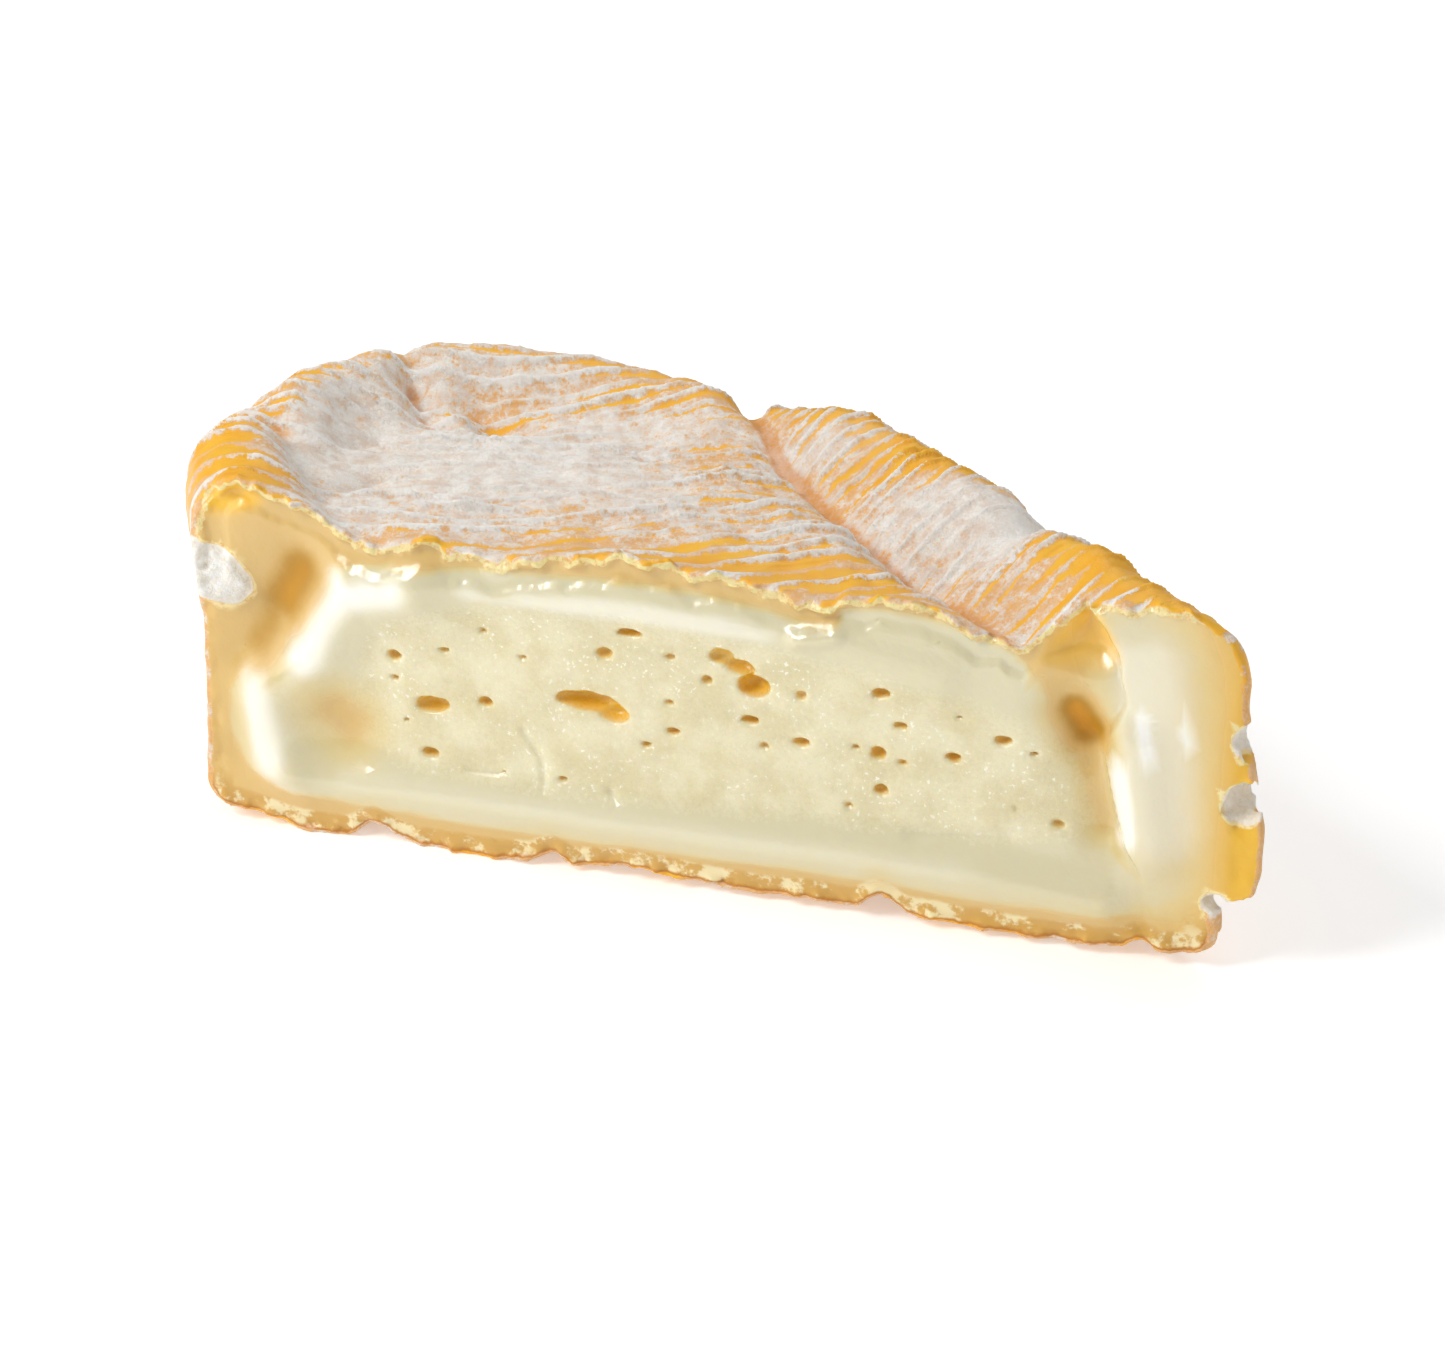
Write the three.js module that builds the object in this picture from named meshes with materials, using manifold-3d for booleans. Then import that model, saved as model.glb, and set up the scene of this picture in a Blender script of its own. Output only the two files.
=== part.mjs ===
// Half of a soft ripened cheese: a slumped round wheel with a raised, folded rim, sliced upright
// through its middle. Rind and paste grew as one body, so it is one closed solid.
// Millimetres, +Z up. +X runs along the cut and +Y points away from it, into the cheese.
// The origin is under the middle of the bounding box, on the surface that the cheese stands on.
import * as THREE from "three";
import { mergeVertices } from "three/addons/utils/BufferGeometryUtils.js";
import Module from "manifold-3d";

// ---- Driving dimensions of the wheel ----
const TOP_HEIGHT = 36; // sunken middle of the top
const SHOULDER = 8; // radius between the top and the wall, at the right end of the cut
const FOOT = 4; // radius between the underside and the wall
const RIM_INSET = 9; // from the wall to the crest of the rounded rim
const RIM_WIDTH = 6;

// The wheel's widest outline, seen from above, anticlockwise from the right end of the cut.
// The last five points lie in front of the cut and are sliced away.
const OUTLINE = [
  [59, 0], [54, 6.5], [46.5, 13], [37, 23], [27, 34], [15, 44], [1, 51.5], [-13, 57],
  [-29, 60], [-44, 58], [-57, 51], [-65, 38], [-65.8, 24], [-62, 9], [-57, 0],
  [-48, -14], [-28, -25], [0, -29], [26, -26], [49, -15],
];
const CENTRE = new THREE.Vector2(-4, 12);
// What changes going once round: [direction from CENTRE in degrees, value]. The shoulder is softer
// where the cheese has slumped (a share of SHOULDER), and the rim stands higher at the back.
const SHOULDER_SHARES = [[-20, 1], [10, 1.1], [45, 1.4], [80, 1.1], [120, 0.9], [165, 0.6], [340, 1]];
const RIM_RISES = [
  [-20, 1.6], [25, 1], [50, 0.6], [75, 3.3], [100, 3.4], [125, 3.3], [145, 4.6], [165, 6], [178, 5],
  [190, 2.6], [340, 1.6],
];

// ---- Slumped top: two flanks rise beside long straight folds ----
// from is a point on the fold, and the flank lies on the side that "towards" points to.
const FLANKS = [
  { from: [36, -2], towards: [0.755, 0.656], rise: 3.6, width: 11 },
  { from: [-40.3, 1.4], towards: [-0.78, -0.626], rise: 4.5, width: 12 },
];
// Valleys in the rind, each along a line of points.
const CREASES = [
  { line: [[39, -6], [-12, 54]], depth: 3.2, width: 4.2 },
  { line: [[-36, -4], [-48, 11], [-54, 18], [-60, 25]], depth: 1, width: 3 },
  { line: [[-42, 34], [-48, 41], [-51, 45]], depth: 2.2, width: 3.4 },
  { line: [[22, 14], [34, 20], [46, 29]], depth: 2.4, width: 4 },
  { line: [[-40, 37], [-30, 42]], depth: 1.6, width: 4 },
];

// ---- Folds in the underside that open at the cut, and the largest eyes in the paste ----
const UNDER_FOLDS = [
  { x: -37, rise: 2.4, width: 7, length: 34 },
  { x: -16, rise: 2, width: 7, length: 26 },
  { x: 20.7, rise: 3, width: 8, length: 24 },
  { x: 48, rise: 2.6, width: 6, length: 9 },
];
const EYES = [
  { x: -30, z: 17.7, wide: 4, high: 2, deep: 4 },
  { x: -12.3, z: 20.5, wide: 8, high: 3, deep: 6 },
  { x: 5.3, z: 26.2, wide: 6, high: 4.6, deep: 6 },
];

// ---- Mesh fineness ----
const AROUND = 144;
const TOP_RINGS = 26;
const ARC_STEPS = 5;
const WALL_STEPS = 3;

const smoothstep = THREE.MathUtils.smoothstep;

// The outline's radius from CENTRE in any direction, read off a closed spline.
function outlineRadius() {
  const curve = new THREE.CatmullRomCurve3(
    OUTLINE.map(([x, y]) => new THREE.Vector3(x, y, 0)),
    true,
  );
  const samples = curve
    .getPoints(600)
    .map((p) => new THREE.Vector2(p.x, p.y).sub(CENTRE))
    .map((p) => ({ angle: p.angle(), radius: p.length() }))
    .sort((a, b) => a.angle - b.angle);
  return (angle) => {
    const turn = THREE.MathUtils.euclideanModulo(angle, 2 * Math.PI);
    const next = samples.findIndex((s) => s.angle >= turn);
    if (next <= 0) return samples[0].radius;
    const [a, b] = [samples[next - 1], samples[next]];
    const share = (turn - a.angle) / (b.angle - a.angle || 1);
    return THREE.MathUtils.lerp(a.radius, b.radius, share);
  };
}

// Reads a value off one of the lists of [direction, value].
function around(values, angle) {
  const start = values[0][0];
  const turned = THREE.MathUtils.radToDeg(angle) - start;
  const degrees = start + THREE.MathUtils.euclideanModulo(turned, 360);
  const next = Math.max(values.findIndex(([at]) => at > degrees), 1);
  const [[at0, value0], [at1, value1]] = [values[next - 1], values[next]];
  return THREE.MathUtils.lerp(value0, value1, (degrees - at0) / (at1 - at0));
}

function distanceToLine(x, y, line) {
  const point = new THREE.Vector3(x, y, 0);
  const closest = new THREE.Vector3();
  let best = Infinity;
  for (let i = 1; i < line.length; i++) {
    const segment = new THREE.Line3(
      new THREE.Vector3(...line[i - 1], 0),
      new THREE.Vector3(...line[i], 0),
    );
    segment.closestPointToPoint(point, true, closest);
    best = Math.min(best, closest.distanceTo(point));
  }
  return best;
}

// Height of the top over a point in plan. inset is how far the point lies inside the wall, and
// rimRise is the height of the rim in its direction.
function topHeight(x, y, inset, rimRise) {
  let z = TOP_HEIGHT + rimRise * Math.exp(-(((inset - RIM_INSET) / RIM_WIDTH) ** 2));
  for (const { from, towards, rise, width } of FLANKS) {
    const beyond = (x - from[0]) * towards[0] + (y - from[1]) * towards[1];
    z += rise * smoothstep(beyond, 0, width);
  }
  for (const { line, depth, width } of CREASES) {
    z -= depth * Math.exp(-((distanceToLine(x, y, line) / width) ** 2));
  }
  return z;
}

// Half section of a plain round wheel, from the middle of the underside, out and up the wall, to
// the middle of the top.
function section(radius) {
  const points = [new THREE.Vector2(0, 0)];
  const arc = (x, z, r, from, to) => {
    for (let i = 0; i <= ARC_STEPS; i++) {
      const a = THREE.MathUtils.lerp(from, to, i / ARC_STEPS);
      points.push(new THREE.Vector2(x + r * Math.cos(a), z + r * Math.sin(a)));
    }
  };
  arc(radius - FOOT, FOOT, FOOT, -Math.PI / 2, 0);
  const wallTop = TOP_HEIGHT - SHOULDER;
  for (let i = 1; i < WALL_STEPS; i++) {
    points.push(new THREE.Vector2(radius, THREE.MathUtils.lerp(FOOT, wallTop, i / WALL_STEPS)));
  }
  arc(radius - SHOULDER, wallTop, SHOULDER, 0, Math.PI / 2);
  for (let i = TOP_RINGS - 1; i >= 0; i--) {
    points.push(new THREE.Vector2(((radius - SHOULDER) * i) / TOP_RINGS, TOP_HEIGHT));
  }
  return points;
}

// Moves a height of the plain section down the wall, so that its shoulder grows by share.
function soften(z, share) {
  const wallTop = TOP_HEIGHT - SHOULDER;
  if (z >= wallTop) return TOP_HEIGHT - (TOP_HEIGHT - z) * share;
  if (z <= FOOT) return z;
  return THREE.MathUtils.mapLinear(z, FOOT, wallTop, FOOT, TOP_HEIGHT - SHOULDER * share);
}

// The whole wheel: a lathed section, pulled out to the outline and shaped on top.
function wheelGeometry() {
  const meanRadius = 55;
  const radiusAt = outlineRadius();
  const geometry = new THREE.LatheGeometry(section(meanRadius), AROUND);
  geometry.rotateX(Math.PI / 2); // the lathe's own axis is Y
  const position = geometry.getAttribute("position");
  for (let i = 0; i < position.count; i++) {
    const spoke = new THREE.Vector2(position.getX(i), position.getY(i));
    const fromWall = meanRadius - spoke.length();
    const radius = radiusAt(spoke.angle());
    const share = around(SHOULDER_SHARES, spoke.angle());
    const rimRise = around(RIM_RISES, spoke.angle());
    const isUpper = position.getZ(i) > TOP_HEIGHT / 2;
    const z = soften(position.getZ(i), share);
    // Near the wall an inset keeps its size, so that the arcs stay round; further in it stretches.
    const arc = isUpper ? SHOULDER * share : FOOT;
    const flat = isUpper ? SHOULDER : FOOT;
    const inset =
      fromWall < flat
        ? (fromWall * arc) / flat
        : THREE.MathUtils.mapLinear(fromWall, flat, meanRadius, arc, radius);
    spoke.setLength(Math.max(radius - inset, 0)).add(CENTRE);
    const lift = smoothstep(z, FOOT, TOP_HEIGHT);
    const rise = (topHeight(spoke.x, spoke.y, inset, rimRise) - TOP_HEIGHT) * lift;
    position.setXYZ(i, spoke.x, spoke.y, z + rise);
  }
  return geometry;
}

const wasm = await Module();
wasm.setup();

function toSolid(geometry) {
  const bare = new THREE.BufferGeometry();
  bare.setAttribute("position", geometry.getAttribute("position").clone());
  if (geometry.index) bare.setIndex(geometry.index.clone());
  const merged = mergeVertices(bare, 1e-3);
  return new wasm.Manifold(
    new wasm.Mesh({
      numProp: 3,
      vertProperties: new Float32Array(merged.getAttribute("position").array),
      triVerts: new Uint32Array(merged.index.array),
    }),
  );
}

function toGeometry(solid) {
  const mesh = solid.getMesh();
  return new THREE.BufferGeometry()
    .setAttribute("position", new THREE.BufferAttribute(mesh.vertProperties, 3))
    .setIndex(new THREE.BufferAttribute(mesh.triVerts, 1));
}

// The block of space in front of the cut.
function sliceCutter() {
  const reach = 200;
  return new THREE.BoxGeometry(reach, reach, reach).translate(0, -reach / 2, 0);
}

// A tapered fold under the cheese: deepest at the cut, gone at its far end.
function underFold({ x, rise, width, length }) {
  return new THREE.SphereGeometry(1, 12, 8)
    .scale(width / 2, length, rise)
    .rotateZ(-0.25)
    .translate(x, 0, 0);
}

// A gas hole in the paste, opened by the cut.
function eye({ x, z, wide, high, deep }) {
  return new THREE.SphereGeometry(1, 12, 8).scale(wide / 2, deep, high / 2).translate(x, 0, z);
}

function halfCheese() {
  let solid = toSolid(wheelGeometry());
  for (const cutter of [sliceCutter(), ...UNDER_FOLDS.map(underFold), ...EYES.map(eye)]) {
    solid = solid.subtract(toSolid(cutter));
  }
  const geometry = toGeometry(solid);
  geometry.computeBoundingBox();
  const box = geometry.boundingBox;
  const middle = box.getCenter(new THREE.Vector3());
  geometry.translate(-middle.x, -middle.y, -box.min.z);
  geometry.computeVertexNormals();
  return geometry;
}

const cheese = new THREE.Mesh(
  halfCheese(),
  new THREE.MeshStandardMaterial({ color: 0xf0dfa8, roughness: 0.45, metalness: 0 }),
);
cheese.name = "cheese_wedge";

const part = new THREE.Group();
part.add(cheese);
export default part;
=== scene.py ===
"""Looks of half a soft ripened cheese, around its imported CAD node.

The cheese is one closed mesh. It is worked out as a field of depths on a fine grid: how far each
point lies below the outside of the uncut cheese, and how far behind the face of the cut. The
surface where that field is zero becomes the mesh, and the same depths drive its colours.
Inside this file all sizes are millimetres in the cheese's own coordinates: x runs along the cut,
y runs from the cut into the cheese, and z is the height above the board.
"""
import math

import bpy
import numpy as np
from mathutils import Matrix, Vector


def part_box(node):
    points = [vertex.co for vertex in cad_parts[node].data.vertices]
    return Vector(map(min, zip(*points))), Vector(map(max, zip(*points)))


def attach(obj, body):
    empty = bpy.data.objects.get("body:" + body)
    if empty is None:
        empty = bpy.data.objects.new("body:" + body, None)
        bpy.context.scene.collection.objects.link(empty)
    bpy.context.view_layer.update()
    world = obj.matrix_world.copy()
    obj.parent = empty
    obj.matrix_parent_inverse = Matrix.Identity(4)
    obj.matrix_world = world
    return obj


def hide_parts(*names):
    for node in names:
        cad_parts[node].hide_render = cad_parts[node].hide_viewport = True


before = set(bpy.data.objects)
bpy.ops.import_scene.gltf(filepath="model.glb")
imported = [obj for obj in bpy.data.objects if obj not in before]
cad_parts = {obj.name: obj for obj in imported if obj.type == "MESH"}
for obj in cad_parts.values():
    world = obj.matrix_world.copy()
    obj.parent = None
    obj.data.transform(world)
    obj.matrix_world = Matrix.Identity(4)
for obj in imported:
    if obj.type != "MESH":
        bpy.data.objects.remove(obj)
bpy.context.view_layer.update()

import openvdb
from mathutils import Vector

NODE = "cheese_wedge"
MM = 0.001

# ---------------------------------------------------------------- outer form
TOP = 36.0  # height of the sunken middle of the top
SHOULDER = 8.0
FOOT = 2.5
TOP_SLOPE = 0.95  # turns height below the sloping top into depth
RIM_INSET = 9.0
RIM_WIDTH = 6.0
OUTLINE = [
    (59, 0), (54, 6.5), (46.5, 13), (37, 23), (27, 34), (15, 44), (1, 51.5), (-13, 57),
    (-29, 60), (-44, 58), (-57, 51), (-65, 38), (-65.8, 24), (-62, 9), (-57, 0),
    (-48, -14), (-28, -25), (0, -29), (26, -26), (49, -15),
]
CENTRE = (-4.0, 12.0)
# Radius of the shoulder in each direction from CENTRE, in degrees, as a share of SHOULDER.
SHOULDER_SHARES = [(-20, 0.85), (10, 1.1), (45, 1.4), (80, 1.1), (120, 0.9), (165, 0.6), (340, 0.85)]
# Rise of the rounded rim above the sunken middle, in the same directions.
RIM_RISES = [
    (-20, 1.6), (25, 1.0), (50, 0.6), (75, 3.3), (100, 3.4), (125, 3.3), (145, 4.6), (165, 6), (178, 5),
    (190, 2.6), (340, 1.6),
]
# Raised flanks beside the long folds: a point on the fold, the way the flank lies, rise, width.
FLANKS = [
    ((36, -2), (0.755, 0.656), 3.4, 11),
    ((-40.3, 1.4), (-0.78, -0.626), 4.4, 12),
]
# The long fold, in plan. The ribs are closer together on the flank to its right.
LONG_FOLD = [(36.5, -5), (29.5, 4), (14.5, 18.5), (-2.5, 38), (-15, 57)]
# Folds and pits in the top: line in plan, depth, width.
FOLDS = [
    (LONG_FOLD, 3.2, 3.0),
    ([(-36, -4), (-44.4, 6.6), (-50, 12.5), (-55.5, 19)], 1.5, 2.6),
    ([(-55, 18), (-60, 25)], 0.9, 2.4),
    ([(-42.7, 34.8), (-45.3, 36.7), (-49, 41.5)], 2.6, 2.2),
    ([(-49, 41.5), (-52.5, 47)], 1.2, 1.8),
    ([(22, 14), (31.5, 21), (43, 29)], 2.6, 4.2),
    ([(-40.5, 41), (-36, 37)], 2.4, 3.0),
    ([(-49.5, 23.4), (-47.2, 27.5)], 1.4, 1.7),
    ([(-44.1, 11.3), (-42.9, 17)], 1.2, 1.6),
    ([(-36, 37), (-28, 34), (-18, 36)], 1.0, 3.0),
]
# Height of the rind's torn top edge along the cut.
TOP_EDGE = [
    (-60, 38.5), (-51.5, 41), (-43, 38), (-38, 35), (-30, 36.5), (-22, 35), (-10, 37.5), (1, 37),
    (15, 35), (16, 36.2), (24, 36.5), (35, 33), (41, 38.5), (50, 40), (60, 39),
]
# Height of the underside along the cut, where it curls up from the board, between its folds.
UNDERSIDE = [(-60, 3), (-46, 0), (-24, 0), (-9, 1.5), (8, 1), (44, 1), (60, 2.5)]
UNDER_FOLDS = [(-37, 2.4, 2.5, 34), (-16, 2.0, 2.5, 26), (20.7, 3.0, 2.8, 34), (48.5, 2.6, 2.2, 16)]
# How far the side walls stand out at each height, beside the cut at the right and all along the left.
RIGHT_WALL = [
    (0, -2.6), (2.6, -2.5), (6.4, -3.3), (8, -2.6), (9.4, 1.0), (11.6, 1.3), (17, 1.2), (25, -0.4),
    (30, -1.2), (36, -1.6),
]
LEFT_WALL = [(0, -1.8), (12, -1.2), (28, -0.3), (40, 0)]

RIB_PITCH = 3.9
FLANK_RIB_PITCH = 2.5
RIB_HEIGHT = 1.25

# ---------------------------------------------------------------- face of the cut
# The crumbly core, as a ring of points on the cut.
CORE = [
    (-38, 17.5), (-34, 26.5), (-20, 30), (3, 30), (33, 25.5), (41, 18), (38, 12.5), (10, 11),
    (-28, 9.5), (-36, 12),
]
# The cream that runs round the core, and the slab of cream that stands forward at the right.
CREAM = [
    (-53.5, 15), (-48, 22), (-42.5, 31), (-30, 33.5), (-4, 34.5), (14, 33), (17, 35), (27, 34.5),
    (34, 32), (38, 26), (43.5, 13.5), (50, 7), (36, 5), (9, 5), (-18, 4.5), (-32, 4.5), (-51, 7),
]
SLAB = [
    (43.6, 36), (45.2, 31), (44.2, 25), (45.6, 20), (47.6, 13), (50.5, 9), (53, 12), (53.5, 20),
    (53, 28), (51, 35), (47, 37.5),
]
# Soft hollows and swellings of the face: line on the cut, depth (negative swells out), width.
HOLLOWS = [
    ([(-45, 31), (-47.4, 27.2)], 1.5, 4.8),
    ([(-48.4, 25.4), (-50.4, 22)], 0.9, 4.2),
    ([(-41.5, 15), (-40, 13.6)], 1.2, 4.6),
    ([(40.4, 26.8), (41.6, 24.4)], 1.5, 3.2),
    ([(41.8, 23.5), (43.8, 14.5)], 1.2, 2.4),
    ([(-52.5, 20), (-53.5, 8)], 0.5, 2.4),
    ([(-50, 16.5), (-47.8, 8)], -1.8, 3.4),
    ([(-44.8, 19), (-42.2, 25.8), (-38.5, 29.8), (-32, 31.2)], -2.0, 4.2),
    ([(-30, 31.6), (-10, 32.0), (12, 31.0), (26, 29.0)], -0.8, 2.8),
    ([(-45, 6.8), (-28, 6.8), (-6, 7), (18, 7.4), (33, 7), (44, 6.2)], -1.5, 2.8),
    ([(46.8, 24), (49, 13)], -1.6, 3.2),
    ([(50, 30), (54, 20), (55, 12)], -0.7, 5.5),
    ([(24, 10.9), (34, 12)], 0.4, 0.8),
    ([(11.5, 31.6), (15.2, 32.6)], -0.9, 1.1),
]
# How strongly the first of those hollows are tinted inside: partly the paste's own golden tone, partly
# painted shade.
HOLLOW_TINT_AND_SHADE = (0.84, 0.7, 0.5, 0.92, 0.45)
# Whiter cream on the swellings, mostly a painted highlight where the lamps' highlights fall, partly the
# cream's lighter tone: line on the cut, width, strength.
MILK_AND_HIGHLIGHTS = [
    ([(-44.2, 22), (-42.2, 27), (-39.4, 30.2), (-34, 31.4)], 2.5, 0.9),
    ([(-50.6, 17), (-49.2, 9)], 2.4, 0.75),
    ([(-25, 32.2), (8, 31.8)], 1.2, 0.5),
    ([(45.4, 22), (46.3, 17), (46.6, 14)], 1.2, 1.0),
    ([(47.5, 28), (48.6, 24)], 0.8, 0.7),
    ([(52, 27.5), (52.8, 24.5)], 0.7, 0.6),
    ([(47.5, 34), (49.5, 26), (50.5, 16)], 3.6, 0.35),
    ([(-40, 7.6), (0, 7.6), (30, 7.8)], 1.2, 0.15),
]
# Pockets where the paste pulls away under the rind, tinted golden partly as painted shade: ring on the
# cut, and depth.
POCKETS = [
    ([(37, 33), (41, 38.5), (44.5, 34.5), (43.5, 31.5), (39.5, 31.5)], 1.9),
    ([(-58.5, 39), (-54, 41.5), (-49, 39), (-54, 37), (-58.5, 37)], 0.7),
]
# Left edge of the slab of paste that stands forward at the right: (height, x), and its step.
SLAB_EDGE = [(9, 49), (14, 46), (18, 45), (23.5, 43), (29, 45.5), (34, 44.5), (38.5, 41.5)]
SLAB_STEP = [(9, 0.2), (14, 1.4), (22, 1.3), (28, 1.0), (33, 1.6), (40, 2.4)]
# The largest gas holes: x, z, width, height, how deep.
LARGE_EYES = [
    (-30, 17.5, 4, 2, 1.8), (-12, 20.5, 7.5, 2.2, 2.3), (-9, 19.5, 3.5, 2, 1.8), (-7, 29.3, 3, 1.2, 1.5),
    (3, 28, 3, 2, 1.2), (5, 27, 3.5, 1.8, 1.7), (6.5, 25, 3.5, 2.7, 2.3), (20, 19.3, 1.8, 1.5, 1.4),
    (28, 20, 2, 1.1, 1.4),
]
# Small gas holes, scattered over the core.
SMALL_EYES = 32
SMALL_EYE_WIDTHS = (0.8, 2.2)
SMALL_EYE_HEIGHTS = (0.4, 0.75)  # as a share of the width
EYE_SEED = 65
# Cracks and ledges in the core: line on the cut, depth, width.
CRACKS = [
    ([(-19.5, 16), (-17.5, 13), (-17, 9.5)], 0.35, 0.4),
    ([(-26, 10.5), (-22.5, 10.5)], 0.35, 0.3),
    ([(-9.5, 10.5), (-7.5, 7.5)], 0.5, 0.4),
]
# Bites out of the side wall that show beside the cut: x, y, z, radius.
SIDE_BITES = [(58.3, 0.2, 19.6, 2.1), (58.6, 0.3, 26.4, 1.8), (56.0, 0.2, 8.0, 1.3)]
# The flap of mouldy rind folded over the cut at the left, as a ring on the cut.
CURL = [(-58, 33.5), (-53.5, 32), (-51, 28.5), (-53, 26.5), (-58, 28)]

GRID_LOW, GRID_HIGH = (-70.0, -5.0, -1.5), (64.5, 64.5, 45.0)
VOXEL = 0.34
RELIEF_REACH = 2.5  # the wall's relief is worked out only this near to the plain outside
FIELD_LIMIT = 3  # depths beyond this don't matter to the surface
MAX_TRIANGLES = 195000


# ---------------------------------------------------------------- small mathematics
def smoothstep(value, low, high):
    t = np.clip((value - low) / (high - low), 0, 1)
    return t * t * (3 - 2 * t)


def noise(x, y, z, size, seed):
    """Smooth noise from -1 to 1, with lumps about size millimetres across."""
    count = 32
    table = np.random.default_rng(seed).uniform(-1, 1, (count, count, count)).astype(np.float32)
    # The lattice is turned, so that its rows don't show along the cheese's own axes.
    turned = (0.8 * x + 0.6 * y, 0.8 * y - 0.6 * x + 0.35 * z, z - 0.35 * y)
    cells = [np.asarray(a, np.float32) / size + 500 for a in turned]
    whole = [np.floor(c).astype(np.int32) for c in cells]
    part = [smoothstep(c - w, 0, 1) for c, w in zip(cells, whole)]
    total = 0
    for i in (0, 1):
        for j in (0, 1):
            for k in (0, 1):
                weight = (
                    (part[0] if i else 1 - part[0])
                    * (part[1] if j else 1 - part[1])
                    * (part[2] if k else 1 - part[2])
                )
                corner = table[(whole[0] + i) % count, (whole[1] + j) % count, (whole[2] + k) % count]
                total = total + weight * corner
    return total


def layered_noise(x, y, z, size, seed, layers=3):
    """Noise with finer and weaker noise on top of it."""
    total = 0
    for layer in range(layers):
        total = total + noise(x, y, z, size / 2**layer, seed + layer) / 2**layer
    return total


def closed_curve(points, steps=10):
    """Catmull-Rom curve through a closed ring of points."""
    here = np.array(points, float)
    before, after, later = np.roll(here, 1, 0), np.roll(here, -1, 0), np.roll(here, -2, 0)
    t = np.linspace(0, 1, steps, endpoint=False)[:, None, None]
    curve = (
        2 * here
        + (after - before) * t
        + (2 * before - 5 * here + 4 * after - later) * t**2
        + (3 * here - before - 3 * after + later) * t**3
    ) / 2
    return curve.transpose(1, 0, 2).reshape(-1, 2)


def distance_to_line(u, v, points):
    """Distance to a line through points, in a plane with coordinates u and v."""
    nearest = np.float32(1e9)
    for (au, av), (bu, bv) in zip(points[:-1], points[1:]):
        du, dv = bu - au, bv - av
        share = np.clip(((u - au) * du + (v - av) * dv) / (du * du + dv * dv), 0, 1)
        nearest = np.minimum(nearest, (u - au - share * du) ** 2 + (v - av - share * dv) ** 2)
    return np.sqrt(nearest)


def depth_inside(u, v, points):
    """Distance to the edge of a closed ring, positive inside it and negative outside it."""
    ring = closed_curve(points)
    closed = np.vstack([ring, ring[:1]])
    inside = np.zeros(np.broadcast(u, v).shape, bool)
    for (au, av), (bu, bv) in zip(closed[:-1], closed[1:]):
        if av != bv:
            crosses = ((av > v) != (bv > v)) & (u < (bu - au) * (v - av) / (bv - av) + au)
            inside ^= crosses
    return distance_to_line(u, v, closed) * np.where(inside, 1, -1)


def round_meet(a, b, radius):
    """Depth inside two overlapping bodies, with the edge where they meet rounded."""
    a_short, b_short = np.maximum(radius - a, 0), np.maximum(radius - b, 0)
    return np.maximum(radius, np.minimum(a, b)) - np.hypot(a_short, b_short)


def swell(u, v, strokes, shape=2):
    """Sum of soft strokes: each has its depth along a line and fades away beside it."""
    total = 0
    for line, depth, width in strokes:
        total = total + depth * np.exp(-((distance_to_line(u, v, line) / width) ** shape))
    return total


def around(x, y, values):
    """A value read off a list of (direction from CENTRE in degrees, value)."""
    degrees = np.degrees(np.arctan2(y - CENTRE[1], x - CENTRE[0]))
    start = values[0][0]
    return np.interp(start + (degrees - start) % 360, *zip(*values), period=360)


# ---------------------------------------------------------------- the outside of the uncut cheese
def right_of_fold(x, y):
    """Distance to the right of the long fold, negative to its left."""
    xs, ys = zip(*LONG_FOLD)
    return 0.75 * (x - np.interp(y, ys, xs))


def rib_phase(x, y):
    """A whole number on each rib's crest. It grows from the back left to the front right."""
    across = 0.56 * x + 0.0035 * x * x - y
    middle = (across - 0.004 * across * across) / RIB_PITCH
    flank = (0.8 * x - 0.75 * y) / FLANK_RIB_PITCH
    phase = np.where(right_of_fold(x, y) > 0, flank, middle)
    return phase + 0.45 * noise(x, y, 0, 15, 11) + 0.16 * noise(x, y, 0, 5, 12)


def rib_fade(x, y):
    """Ribs die away in the long fold, towards the back and in thick mould."""
    fade = smoothstep(np.abs(right_of_fold(x, y)), 0.4, 2.0) * (1 - 0.7 * smoothstep(y, 50, 58))
    return fade * (1 - np.clip(patches(x, y, FUZZY), 0, 1) ** 2)


def rib_life(x, y, rib, seed):
    """Slow change along each rib, from -1 to 1, that differs from rib to rib."""
    return noise(x + 0.5 * y, 17.0 * np.asarray(rib, np.float32), 0, 9, seed)


def rib_height(phase):
    """Height of a rib: a sharp crest, then a low shelf in front of it."""
    part = phase - np.floor(phase)
    crest = np.exp(-((part / 0.12) ** 2)) + np.exp(-(((part - 1) / 0.2) ** 2))
    return crest + 0.35 * np.exp(-(((part - 0.36) / 0.18) ** 2))


def rib_strength(x, y, phase):
    return np.clip(0.6 + 0.75 * rib_life(x, y, np.floor(phase + 0.5), 13), 0.05, 1.15)


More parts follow.
